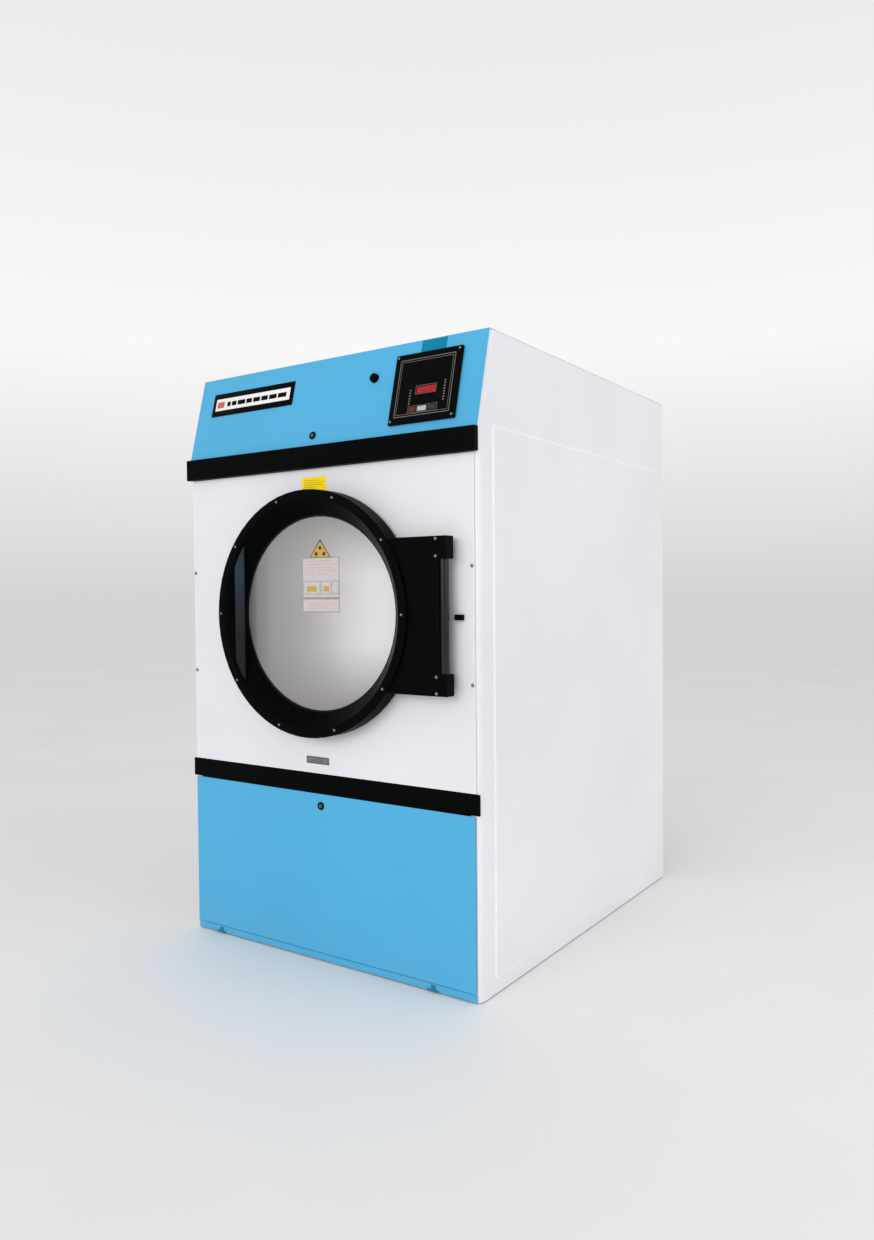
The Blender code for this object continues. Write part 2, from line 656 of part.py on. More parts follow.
def drive(frame):
    """Fixed side of the two-stage belt drive: motor, idler bracket and belts."""
    motor_axis, idler_axis = (DRIVE_X, MOTOR_Z), (DRIVE_X, IDLER_Z)
    motor = turned("drive_motor", [(0, 1.000), (0.060, 1.000), (0.085, 1.012), (0.085, 1.238),
                                   (0.050, 1.252), (0, 1.252)],
                   frame, "motor_grey", motor_axis, steps=32, solid=True)
    join_boxes(motor, frame, ((DRIVE_X - 0.060, DRIVE_X + 0.060), (1.040, 1.200),
                              (BASE_Z + 0.002 + GAP, MOTOR_Z - 0.04)))
    bracket = box("idler_bracket", (DRIVE_X - 0.035, DRIVE_X + 0.035),
                  (BULKHEAD + 0.003 + GAP, 1.262), (IDLER_Z - 0.035, IDLER_Z + 0.035), frame,
                  "cast_iron")
    join_rod(bracket, frame, "pin", 0.010, idler_axis, (1.255, 1.372), segments=24)
    belt("tumbler_belt", (((0, DOOR_Z), SHEAVE_RADIUS), (idler_axis, IDLER_SMALL)), SECOND_BELT,
         frame)
    belt("motor_belt", ((idler_axis, IDLER_LARGE), (motor_axis, MOTOR_PULLEY)), FIRST_BELT, frame)


def idler(frame):
    bore = 0.0107
    turned("idler_pulley", [(bore, 1.268), (IDLER_SMALL, 1.268), (IDLER_SMALL, 1.312),
                            (0.024, 1.312), (0.024, 1.332), (IDLER_LARGE, 1.332),
                            (IDLER_LARGE, 1.358), (bore, 1.358)],
           frame, "cast_iron", (DRIVE_X, IDLER_Z), steps=32)


def motor_pulley(frame):
    turned("motor_pulley", [(0, 1.2535), (0.012, 1.2535), (0.012, 1.330), (MOTOR_PULLEY, 1.330),
                            (MOTOR_PULLEY, 1.358), (0, 1.358)],
           frame, "cast_iron", (DRIVE_X, MOTOR_Z), steps=24, solid=True)


# ---- blower and exhaust ---------------------------------------------------------------------
def blower(frame):
    """Scroll with a box outlet, which feeds the exhaust duct behind it."""
    front, back = BLOWER_SPAN
    wall = 0.002
    axis = (BLOWER_X, BLOWER_Z)
    outlet_x, outlet_z = (BLOWER_X, 0.538), (0.130, 0.410)
    bm = bmesh.new()
    add_rod(bm, BLOWER_RADIUS, axis, BLOWER_SPAN, segments=40)
    housing = add_piece("blower_housing", mesh_from(bm, "blower_housing"), frame, "zinc")
    join_boxes(housing, frame, (outlet_x, BLOWER_SPAN, outlet_z))
    hollow = (front + wall, back - wall)
    cut_rod(housing, frame, "scroll_hollow", BLOWER_RADIUS - wall, axis, hollow, segments=40)
    cut_boxes(housing, frame, [((outlet_x[0], outlet_x[1] - wall), hollow,
                                (outlet_z[0] + wall, outlet_z[1] - wall))], "outlet_hollow")
    cut_rod(housing, frame, "inlet", 0.110, axis, (front - 0.01, front + 0.01), segments=32)
    cut_rod(housing, frame, "shaft_hole", 0.020, axis, (back - 0.01, back + 0.01), segments=16)
    cut_rod(housing, frame, "outlet", EXHAUST_RADIUS - 0.004, (EXHAUST_X, EXHAUST_Z),
            (back - 0.01, back + 0.01), segments=48)

    motor = turned("blower_motor", [(0, back + 0.007), (0.050, back + 0.007),
                                    (0.080, back + 0.018), (0.080, 1.230), (0.050, 1.240),
                                    (0, 1.240)],
                   frame, "motor_grey", axis, steps=32, solid=True)
    join_boxes(motor, frame, ((BLOWER_X - 0.060, BLOWER_X + 0.060), (1.030, 1.190),
                              (BASE_Z + 0.002 + GAP, BLOWER_Z - 0.04)))

    inner = EXHAUST_RADIUS - 0.002
    flange = back + GAP
    collar_end = BODY_DEPTH + COLLAR_REACH
    turned("exhaust_duct", [(inner, flange), (0.134, flange), (0.134, flange + 0.003),
                            (EXHAUST_RADIUS, flange + 0.003), (EXHAUST_RADIUS, collar_end),
                            (inner, collar_end)],
           frame, "zinc", (EXHAUST_X, EXHAUST_Z), steps=48)


def fan(frame):
    """Back disc and hub with straight blades, on the shaft that enters the blower motor."""
    disc_front, disc_back = 0.950, 0.955
    radius = 0.160
    axis = (BLOWER_X, BLOWER_Z)
    impeller = turned("fan_impeller", [(0, 0.890), (0.030, 0.890), (0.030, disc_front),
                                       (radius, disc_front), (radius, disc_back),
                                       (0.010, disc_back), (0.010, 0.986), (0, 0.986)],
                      frame, "zinc", axis, steps=32, solid=True)
    bm = bmesh.new()
    blades = 10
    for number in range(blades):
        before = set(bm.verts)
        add_box(bm, (0.080, radius - 0.003), (0.830, disc_front + 0.002), (-0.001, 0.001))
        fresh = [vert for vert in bm.verts if vert not in before]
        turn = Matrix.Rotation(math.tau * (number + 0.25) / blades, 4, "Y")
        bmesh.ops.transform(bm, matrix=turn, verts=fresh)
    bmesh.ops.translate(bm, vec=(BLOWER_X, 0, BLOWER_Z), verts=bm.verts)
    combine(impeller, tool("fan_impeller_blades", bm, frame), "UNION")


# ---- inside the cabinet ---------------------------------------------------------------------
def inner_boxes(frame):
    deck = box("lint_deck", (-INNER_HALF, INNER_HALF), (0.040, BULKHEAD - 0.004),
               (0.586, 0.588), frame, "zinc")
    slots = [((x - 0.03, x + 0.03), (0.20, 0.56), (0.57, 0.60)) for x in (-0.3, -0.15, 0, 0.15, 0.3)]
    cut_boxes(deck, frame, slots)
    screen = box("lint_screen", (-0.500, 0.500), (-0.0008, 0.0008), (-0.245, 0.245), frame,
                 "stainless")
    screen.location = (0, 0.640, 0.320)
    screen.rotation_euler = (math.radians(-20), 0, 0)
    open_box("heater_box", (-0.450, 0.450), (0.460, 1.360), (1.665, 1.905), frame)
    open_box("control_box", (-0.480, 0.480), (0.130, 0.420), (1.665, 1.870), frame)


def open_box(name, x, depth, z, frame):
    """Sheet box that is open underneath."""
    wall = SHEET
    piece = box(name, x, depth, z, frame, "zinc")
    hollow = ((x[0] + wall, x[1] - wall), (depth[0] + wall, depth[1] - wall),
              (z[0] - wall, z[1] - wall))
    cut_boxes(piece, frame, [hollow], "hollow")


def build():
    root = Frame("dryer_root", place=(0, FRONT_Y, 0), zero=(0, 0, 0))

    base_and_feet(root)
    side_panel("side_panel_right", 1, root)
    side_panel("side_panel_left", -1, root)
    front_panel(root)
    trim_bars(root)
    top_and_rear(root)
    inner_boxes(root)

    hinge_post(root)
    main_door = Frame("main_door_axis", place=(HINGE_X, HINGE_DEPTH, 0), parent=root)
    door_ring(main_door)
    door_glazing(main_door)
    door_hardware(main_door)

    # The control door turns about a line in its own sheet, just below its upper edge.
    edge = (0.0, CONTROL_SHEET / 2, SLOPE_LENGTH - 0.0013)
    lean = Matrix.Rotation(-SLOPE_TILT, 3, "X")
    edge_place = lean @ Vector(edge) + Vector((0, 0, UPPER_BAR[1]))
    control_door(Frame("control_door_axis", place=edge_place, tilt=-SLOPE_TILT, zero=edge,
                       parent=root))
    lint_door(Frame("lint_door_axis", place=(0, -0.008, LINT_DOOR[0] + 0.0035), parent=root))
    door_switch(root)

    drum(Frame("drum_axis", place=(0, 0, DOOR_Z), parent=root))
    bearings(root)
    drive(root)
    idler(root)
    motor_pulley(root)
    blower(root)
    fan(root)


build()
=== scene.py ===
import json
import math

import bmesh
import bpy
from mathutils import Matrix, Vector


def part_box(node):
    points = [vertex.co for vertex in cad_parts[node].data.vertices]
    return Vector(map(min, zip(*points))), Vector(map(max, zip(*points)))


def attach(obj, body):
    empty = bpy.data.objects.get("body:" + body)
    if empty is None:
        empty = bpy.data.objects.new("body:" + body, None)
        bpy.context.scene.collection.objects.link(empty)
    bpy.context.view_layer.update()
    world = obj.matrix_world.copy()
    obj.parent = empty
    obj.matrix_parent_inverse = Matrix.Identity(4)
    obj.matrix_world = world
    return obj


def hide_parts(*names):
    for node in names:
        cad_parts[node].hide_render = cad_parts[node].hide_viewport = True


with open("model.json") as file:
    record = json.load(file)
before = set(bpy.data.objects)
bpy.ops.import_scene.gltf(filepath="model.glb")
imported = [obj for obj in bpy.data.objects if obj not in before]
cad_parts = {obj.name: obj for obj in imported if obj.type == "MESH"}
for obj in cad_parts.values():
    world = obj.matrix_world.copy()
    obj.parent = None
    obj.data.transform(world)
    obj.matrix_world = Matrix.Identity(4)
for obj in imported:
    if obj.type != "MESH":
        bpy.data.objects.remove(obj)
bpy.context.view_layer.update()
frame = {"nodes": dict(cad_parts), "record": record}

NODES = frame["nodes"]

# ---- places, read from the frame ------------------------------------------------------------
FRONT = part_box("front_panel")[0].y                  # outer face of the front panel
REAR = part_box("rear_upper_panel")[1].y              # outer face of the rear panels
SLOPE_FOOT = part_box("upper_trim_bar")[1].z          # where the control door starts
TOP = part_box("top_cover")[1].z
DOOR_Z = (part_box("door_ring")[0].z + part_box("door_ring")[1].z) / 2
DOOR_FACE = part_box("door_ring")[0].y
GLASS_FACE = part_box("door_glass")[0].y
SLOPE_DEPTH = 0.072                                 # how far the control door leans back
SLOPE_TILT = math.atan2(SLOPE_DEPTH, TOP - SLOPE_FOOT)
SLOPE = Matrix.Translation((0, FRONT, SLOPE_FOOT)) @ Matrix.Rotation(-SLOPE_TILT, 4, "X")
FORWARD, BACKWARD, UP = (0, -1, 0), (0, 1, 0), (0, 0, 1)
SHARP_ANGLE = math.radians(32)                      # edges sharper than this stay creased


# ---- node graphs ----------------------------------------------------------------------------
class Surface:
    """A Principled material under construction, with short ways to add its nodes.

    Texture places are object coordinates, which are metres in the frame for every piece here.
    """

    def __init__(self, name, **constants):
        self.material = bpy.data.materials.new(name)
        self.material.use_nodes = True
        self.tree = self.material.node_tree
        self.shader = self.tree.nodes["Principled BSDF"]
        for key, value in constants.items():
            self.shader.inputs[key.replace("_", " ")].default_value = value
        self.place = self.tree.nodes.new("ShaderNodeTexCoord").outputs["Object"]

    def node(self, kind, inputs, output=0, **settings):
        node = self.tree.nodes.new("ShaderNode" + kind)
        for key, value in settings.items():
            setattr(node, key, value)
        for key, value in inputs.items():
            if isinstance(value, bpy.types.NodeSocket):
                self.tree.links.new(value, node.inputs[key])
            else:
                node.inputs[key].default_value = value
        return node.outputs[output]

    def noise(self, scale, detail=2.0, stretch=None):
        place = self.place
        if stretch:
            place = self.node("Mapping", {"Vector": place, "Scale": stretch})
        return self.node("TexNoise", {"Vector": place, "Scale": scale, "Detail": detail})

    def remap(self, value, low, high, to_low=0.0, to_high=1.0):
        return self.node("MapRange", {"Value": value, "From Min": low, "From Max": high,
                                      "To Min": to_low, "To Max": to_high})

    def math(self, operation, first, second=0.0):
        return self.node("Math", {0: first, 1: second}, operation=operation)

    def blend(self, first, second, factor):
        first, second = ((*c, 1.0) if isinstance(c, tuple) else c for c in (first, second))
        return self.node("Mix", {0: factor, 6: first, 7: second}, output=2, data_type="RGBA")

    def split(self, axis):
        return self.node("SeparateXYZ", {"Vector": self.place}, output="XYZ".index(axis))

    def edges(self, radius, full=0.80):
        """0 on flat faces, rising to 1 where the rounded normal is as far off as full says."""
        soft = self.node("Bevel", {"Radius": radius}, samples=4)
        true = self.node("NewGeometry", {}, output=1)
        likeness = self.node("VectorMath", {0: soft, 1: true}, output=1, operation="DOT_PRODUCT")
        return self.remap(likeness, 0.985, full)

    def finish(self, colour, roughness, height, relief):
        """Link colour, roughness and a bump of that relief in metres."""
        normal = self.node("Bump", {"Height": height, "Distance": relief, "Strength": 1.0})
        for key, value in (("Base Color", colour), ("Roughness", roughness), ("Normal", normal)):
            self.tree.links.new(value, self.shader.inputs[key])
        return self.material


def scaled(colour, factor):
    return tuple(channel * factor for channel in colour)


def paint(name, colour, roughness, wear_and_sheen, wear_and_highlight=0.35, grime=0.10, specular=0.5, edge=(0.0022, 0.80)):
    """Sprayed enamel: orange peel, faint clouding, lighter edges and dust towards the floor; the
    lighter edges are rubbed wear, and on the white enamel a painted highlight.
    """
    s = Surface(name, Specular_IOR_Level=specular)
    clouds = s.remap(s.noise(1.7, 4.0), 0.35, 0.65)
    body = s.blend(scaled(colour, 0.965), scaled(colour, 1.02), clouds)
    low = s.remap(s.split("Z"), 0.22, 0.0)
    dust = s.math("MULTIPLY", s.math("MULTIPLY", low, s.remap(s.noise(9.0, 5.0), 0.3, 0.75)), grime)
    body = s.blend(body, (0.30, 0.28, 0.25), dust)
    # lighter edges: rubbed wear, and where the edge colour is near white a painted highlight
    wear_and_highlight_edges = s.math("MULTIPLY", s.edges(*edge), s.remap(s.noise(38.0, 3.0), 0.42, 0.70, 0.55, 1.0))
    body = s.blend(body, wear_and_sheen, s.math("MULTIPLY", wear_and_highlight_edges, wear_and_highlight))
    sheen = s.remap(s.noise(6.5, 4.0), 0.3, 0.7, roughness - 0.05, roughness + 0.07)
    peel = s.noise(420.0, 1.0)
    height = s.math("ADD", peel, s.math("MULTIPLY", s.noise(3.2, 1.0), 8.0))
    return s.finish(body, sheen, height, 0.00006)


def galvanised(name, colour):
    """Zinc-coated sheet, whose crystals differ in brightness and gloss."""
    s = Surface(name, Metallic=0.9)
    crystal = s.node("TexVoronoi", {"Vector": s.place, "Scale": 120.0}, output=1)
    crystal = s.node("SeparateColor", {"Color": crystal})
    body = s.blend(scaled(colour, 0.90), scaled(colour, 1.05), crystal)
    stain = s.remap(s.noise(4.0, 5.0), 0.50, 0.72, 0.0, 0.15)
    body = s.blend(body, scaled(colour, 0.72), stain)
    body = s.blend(body, (0.72, 0.72, 0.73), s.math("MULTIPLY", s.edges(0.0015), 0.5))
    gloss = s.remap(crystal, 0.0, 1.0, 0.38, 0.48)
    return s.finish(body, gloss, s.math("ADD", crystal, s.noise(300.0)), 0.00003)


def brushed(name, colour=(0.60, 0.60, 0.59), stretch=(6.0, 420.0, 420.0), roughness=0.27):
    """Stainless steel with a fine lengthwise grain."""
    s = Surface(name, Metallic=1.0)
    grain = s.noise(1.0, 3.0, stretch)
    body = s.blend(scaled(colour, 0.88), scaled(colour, 1.06), s.remap(grain, 0.3, 0.7))
    body = s.blend(body, scaled(colour, 0.75), s.remap(s.noise(7.0, 4.0), 0.52, 0.80, 0.0, 0.35))
    body = s.blend(body, (0.80, 0.80, 0.80), s.math("MULTIPLY", s.edges(0.001), 0.5))
    gloss = s.remap(grain, 0.3, 0.7, roughness - 0.06, roughness + 0.08)
    return s.finish(body, gloss, grain, 0.00004)


def dotted(s, across, along, pitch, share):
    """1 inside the holes of a staggered pattern laid over two coordinates."""
    flat = s.node("CombineXYZ", {"X": across, "Y": along})
    turned = s.node("Mapping", {"Vector": flat, "Rotation": (0, 0, math.radians(45))})
    distance = s.node("TexVoronoi", {"Vector": turned, "Scale": 1.0 / pitch, "Randomness": 0.0},
                      voronoi_dimensions="2D")
    return s.remap(distance, share + 0.04, share)


def drum_steel():
    """Drum sheet: perforated on the round wall, plain on the lips and the back."""
    s = Surface("drum_steel", Metallic=1.0)
    x, z = s.split("X"), s.math("SUBTRACT", s.split("Z"), DOOR_Z)
    around = s.math("MULTIPLY", s.math("ARCTAN2", z, x), 0.5)
    radius = s.math("SQRT", s.math("ADD", s.math("MULTIPLY", x, x), s.math("MULTIPLY", z, z)))
    wall = s.math("GREATER_THAN", radius, 0.490)
    y = s.split("Y")
    body_span = s.math("MULTIPLY", s.math("GREATER_THAN", y, FRONT + 0.110),
                       s.math("LESS_THAN", y, FRONT + 0.925))
    holes = s.math("MULTIPLY", dotted(s, around, y, 0.0115, 0.29),
                   s.math("MULTIPLY", wall, body_span))
    grain = s.noise(1.0, 3.0, (240.0, 6.0, 240.0))
    body = s.blend((0.50, 0.50, 0.49), (0.64, 0.64, 0.63), s.remap(grain, 0.3, 0.7))
    body = s.blend(body, (0.42, 0.41, 0.40), s.remap(s.noise(5.0, 5.0), 0.50, 0.78, 0.0, 0.5))
    body = s.blend(body, (0.004, 0.004, 0.004), holes)
    gloss = s.remap(grain, 0.3, 0.7, 0.26, 0.38)
    height = s.math("SUBTRACT", s.math("MULTIPLY", grain, 0.05), holes)
    return s.finish(body, gloss, height, 0.0008)


def screen_mesh():
    """Fine perforated lint screen with felted lint in places."""
    s = Surface("screen_mesh", Metallic=0.8)
    holes = dotted(s, s.split("X"), s.split("Z"), 0.0042, 0.30)
    lint = s.remap(s.noise(26.0, 6.0), 0.50, 0.76)
    body = s.blend((0.55, 0.55, 0.54), (0.02, 0.02, 0.02), holes)
    body = s.blend(body, (0.46, 0.46, 0.47), s.math("MULTIPLY", lint, 0.6))
    return s.finish(body, s.remap(lint, 0.0, 1.0, 0.38, 0.62),
                    s.math("ADD", lint, s.math("MULTIPLY", holes, -1.0)), 0.0004)


def cast(name, colour, roughness=0.62):
    """Sand-cast iron with a grainy skin and oily patches."""
    s = Surface(name, Metallic=0.55)
    grain = s.noise(230.0, 4.0)
    body = s.blend(scaled(colour, 0.65), scaled(colour, 1.25), s.remap(grain, 0.35, 0.65))
    oil = s.remap(s.noise(13.0, 4.0), 0.5, 0.62)
    body = s.blend(body, scaled(colour, 0.5), s.math("MULTIPLY", oil, 0.5))
    body = s.blend(body, (0.38, 0.38, 0.38), s.math("MULTIPLY", s.edges(0.0015), 0.6))
    return s.finish(body, s.remap(oil, 0.0, 1.0, roughness, roughness - 0.22), grain, 0.0004)


def moulded(name, colour, roughness, grain=900.0, relief=0.00005, specular=0.4, wear_and_sheen=None):
    """Moulded plastic or rubber with a fine even grain and handling marks."""
    s = Surface(name, Specular_IOR_Level=specular)
    fine = s.noise(grain, 1.0)
    body = s.blend(scaled(colour, 0.90), scaled(colour, 1.10), s.remap(s.noise(60.0, 3.0), 0.3, 0.7))
    body = s.blend(body, wear_and_sheen or scaled(colour, 2.2), s.math("MULTIPLY", s.edges(0.0010), 0.35))
    gloss = s.remap(s.noise(45.0, 4.0), 0.3, 0.7, roughness - 0.06, roughness + 0.08)
    return s.finish(body, gloss, fine, relief)


def door_glazing():
    """Pale half-silvered glass with painted light: a painted highlight brightens it towards the
    hinge side and painted shade darkens it along its top and foot.
    """
    s = Surface("door_glazing", Specular_IOR_Level=0.35, Coat_Weight=0.12, Coat_Roughness=0.05)
    # painted highlight: grey ramp across the glass, brightest towards the hinge side
    across = s.math("ADD", s.split("X"), s.remap(s.noise(2.4, 2.0), 0.3, 0.7, -0.04, 0.04))
    ramp = s.tree.nodes.new("ShaderNodeValToRGB")
    ramp.color_ramp.interpolation = "B_SPLINE"
    painted_highlight_stops = ((0.0, 0.285), (0.25, 0.305), (0.50, 0.430), (0.75, 0.670), (1.0, 0.740))
    elements = ramp.color_ramp.elements
    while len(elements) < len(painted_highlight_stops):
        elements.new(0.5)
    for element, (place, grey) in zip(elements, painted_highlight_stops):
        element.position = place
        element.color = (grey, grey * 0.970, grey * 0.975, 1.0)
    s.tree.links.new(s.remap(across, -0.28, 0.28), ramp.inputs["Fac"])
    # painted shade: darker away from the middle height, towards the top and foot
    painted_shade_distance = s.math("ABSOLUTE", s.math("SUBTRACT", s.split("Z"), DOOR_Z + 0.012))
    body = s.blend(ramp.outputs["Color"], (0.268, 0.255, 0.248), s.remap(painted_shade_distance, 0.11, 0.30, 0.0, 0.9))
    smears = s.remap(s.noise(1.0, 4.0, (3.0, 3.0, 11.0)), 0.4, 0.7, 0.10, 0.17)
    return s.finish(body, smears, s.noise(2.0, 1.0), 0.0006)


def handle_enamel():
    """Black enamel that hands have polished over the upper half: glossier there, with a painted cool
    dark sheen in its colour.
    """
    s = Surface("handle_enamel", Specular_IOR_Level=0.16)
    # upper-half mask: real polish in the roughness, painted sheen in the colour
    wear_and_sheen = s.remap(s.split("Z"), DOOR_Z - 0.07, DOOR_Z + 0.12)
    wear_and_sheen = s.math("MULTIPLY", wear_and_sheen, s.remap(s.noise(14.0, 3.0), 0.25, 0.7, 0.65, 1.0))
    # painted reflection: the colour turns a cool dark blue over the upper half
    body = s.blend((0.006, 0.006, 0.007), (0.019, 0.031, 0.044), wear_and_sheen)
    body = s.blend(body, (0.10, 0.12, 0.14), s.math("MULTIPLY", s.edges(0.0015), 0.3))
    return s.finish(body, s.remap(wear_and_sheen, 0.0, 1.0, 0.42, 0.24), s.noise(300.0), 0.00004)


def printed(name, colour, roughness=0.45, mottle=0.05, specular=0.35):
    """Label stock or a printed mark: slightly uneven ink on a smooth film."""
    s = Surface(name, Specular_IOR_Level=specular)
    ink = s.remap(s.noise(120.0, 4.0), 0.3, 0.7)
    body = s.blend(scaled(colour, 1.0 - mottle), scaled(colour, 1.0 + mottle), ink)
    gloss = s.remap(s.noise(30.0, 2.0), 0.3, 0.7, roughness - 0.08, roughness + 0.08)
    return s.finish(body, gloss, s.noise(700.0), 0.00003)


def display_filter():
    """Dark red window over an unlit numeric display."""
    s = Surface("display_filter", Specular_IOR_Level=0.12, Coat_Weight=0.05, Coat_Roughness=0.10)
    rows = s.node("TexWave", {"Vector": s.place, "Scale": 90.0}, output=1, bands_direction="X")
    body = s.blend((0.36, 0.012, 0.022), (0.46, 0.020, 0.030), s.remap(rows, 0.2, 0.8))
    body = s.blend(body, (0.28, 0.008, 0.014), s.remap(s.noise(90.0, 2.0), 0.4, 0.7))
    return s.finish(body, s.remap(s.noise(50.0), 0.3, 0.7, 0.12, 0.22), s.noise(200.0), 0.00002)


WHITE, BLUE = (0.735, 0.730, 0.775), (0.068, 0.392, 0.660)
LOOKS = {
    # painted highlight: near-white edge colour, strong blend and wide reach brighten the white
    # enamel's edges
    "white_paint": paint("white_enamel", WHITE, 0.40, (0.97, 0.97, 0.98), wear_and_highlight=0.9,
                         edge=(0.0060, 0.95)),
    "blue_paint": paint("blue_enamel", BLUE, 0.40, (0.22, 0.55, 0.80), wear_and_highlight=0.35, specular=0.3),
    "black_paint": paint("black_enamel", (0.0012, 0.0015, 0.0016), 0.40, (0.025, 0.025, 0.027),
                         wear_and_highlight=0.5, grime=0.02, specular=0.025),
    "black_plastic": moulded("black_moulding", (0.0014, 0.0015, 0.0018), 0.46, specular=0.03,
                             wear_and_sheen=(0.016, 0.016, 0.017)),
    "zinc": galvanised("zinc_sheet", (0.60, 0.61, 0.625)),
    "stainless": brushed("brushed_steel"),
    "cast_iron": cast("cast_iron", (0.11, 0.11, 0.12)),
    "motor_grey": paint("motor_enamel", (0.20, 0.225, 0.25), 0.50, (0.45, 0.45, 0.46), wear_and_highlight=0.6),
    "rubber": moulded("rubber", (0.009, 0.009, 0.010), 0.78, grain=260.0, relief=0.0001,
                      specular=0.15, wear_and_sheen=(0.03, 0.03, 0.03)),
    "glass": door_glazing(),
    "red_plastic": moulded("red_moulding", (0.115, 0.022, 0.016), 0.40, specular=0.2),
    "white_plastic": moulded("white_moulding", (0.42, 0.42, 0.41), 0.42, specular=0.2,
                             wear_and_sheen=(0.6, 0.6, 0.6)),
    "green_plastic": moulded("green_moulding", (0.008, 0.040, 0.026), 0.42, specular=0.2),
    "red_display": display_filter(),
}
DRUM_STEEL, SCREEN = drum_steel(), screen_mesh()
HANDLE = handle_enamel()
POST = paint("post_enamel", (0.0070, 0.0070, 0.0110), 0.24, (0.05, 0.05, 0.07), specular=0.30)
ZINC_SCREW = brushed("zinc_screw", (0.62, 0.61, 0.58), (90.0, 90.0, 90.0), 0.34)
DULL_SCREW = brushed("dull_screw", (0.24, 0.24, 0.24), (90.0, 90.0, 90.0), 0.42)
DARK_SCREW = cast("blued_screw", (0.10, 0.10, 0.105), 0.42)
PAPER = printed("paper_white", (0.80, 0.79, 0.79))
STICKER = printed("sticker_stock", (0.55, 0.51, 0.51))
FILM_YELLOW = printed("film_yellow", (0.96, 0.74, 0.006), mottle=0.03, specular=0.04)
# painted shade: a darker copy of the blue paint, the blue's tone in shade
PAINTED_SHADE_TEAL = paint("painted_shade_teal", (0.0020, 0.205, 0.350), 0.42, (0.05, 0.35, 0.50), specular=0.08)
INK_GREY = printed("ink_grey", (0.28, 0.28, 0.29), mottle=0.10)
INK_SILVER = printed("ink_silver", (0.42, 0.42, 0.43), mottle=0.08)
INK_TAUPE = printed("ink_taupe", (0.150, 0.138, 0.125), mottle=0.10)
INK_PINK = printed("ink_pink", (0.62, 0.40, 0.38), mottle=0.10)
INK_RED = printed("ink_red", (0.52, 0.105, 0.090), mottle=0.08)
INK_OCHRE = printed("ink_ochre", (0.50, 0.34, 0.02), mottle=0.10)
INK_UMBER = printed("ink_umber", (0.060, 0.034, 0.004), mottle=0.10)
FILM_GOLD = printed("film_gold", (0.50, 0.355, 0.085), specular=0.08)

NODE_LOOKS = {"drum_shell": DRUM_STEEL, "lint_screen": SCREEN, "door_handle": HANDLE,
              "hinge_post": POST}
DEFAULT_ROUNDING = 0.0006
ROUNDING = {  # metres, for the nodes that differ from the default
    "side_panel_left": 0.0, "side_panel_right": 0.0, "tumbler_belt": 0.0, "motor_belt": 0.0,
    "keypad_bezel": 0.0015, "upper_trim_bar": 0.0, "lower_trim_bar": 0.0,
    "hinge_block_upper": 0.0025, "hinge_block_lower": 0.0025, "hinge_post": 0.0010,
    "door_hinge_plate": 0.0010, "door_switch_housing": 0.0,
}


# ---- carried-over CAD nodes -----------------------------------------------------------------
def smooth_by_angle():
    """Node group: drop stored normals and keep only real edges sharp."""
    tree = bpy.data.node_groups.new("smooth_by_angle", "GeometryNodeTree")
    tree.interface.new_socket("Geometry", in_out="INPUT", socket_type="NodeSocketGeometry")
    tree.interface.new_socket("Geometry", in_out="OUTPUT", socket_type="NodeSocketGeometry")
    new, link = tree.nodes.new, tree.links.new
    source, sink = new("NodeGroupInput"), new("NodeGroupOutput")
    angle, limit = new("GeometryNodeInputMeshEdgeAngle"), new("FunctionNodeCompare")
    limit.operation = "GREATER_THAN"
    limit.inputs["B"].default_value = SHARP_ANGLE
    normals = new("GeometryNodeSetMeshNormal")
    normals.mode = "SHARPNESS"
    normals.inputs["Remove Custom"].default_value = True
    link(source.outputs[0], normals.inputs["Mesh"])
    link(angle.outputs["Unsigned Angle"], limit.inputs["A"])
    link(limit.outputs[0], normals.inputs["Edge Sharpness"])
    link(normals.outputs[0], sink.inputs[0])
    return tree


SMOOTH = smooth_by_angle()


def soften(node, width):
    """Modifiers only: weld, rounded edges and smooth shading; the CAD vertices stay."""
    weld = node.modifiers.new("weld", "WELD")
    weld.merge_threshold = 0.00002
    if width:
        bevel = node.modifiers.new("edges", "BEVEL")
        bevel.width = width
        bevel.segments = 2
        bevel.limit_method = "ANGLE"
        bevel.angle_limit = math.radians(40)
    node.modifiers.new("smooth", "NODES").node_group = SMOOTH
    level = node.modifiers.new("level", "WEIGHTED_NORMAL")
    level.keep_sharp = True
    level.weight = 100


slots = {part["node"]: part["material_slot"] for part in frame["record"]["subparts"]}
for name, node in NODES.items():
    node.data.materials.clear()
    node.data.materials.append(NODE_LOOKS.get(name) or LOOKS[slots[name]])
    soften(node, ROUNDING.get(name, DEFAULT_ROUNDING))


# ---- meshes ---------------------------------------------------------------------------------
def slopes(turn):
    """Cosine and sine of an angle, without sign and never zero."""
    return abs(math.cos(turn)) + 1e-6, abs(math.sin(turn)) + 1e-6


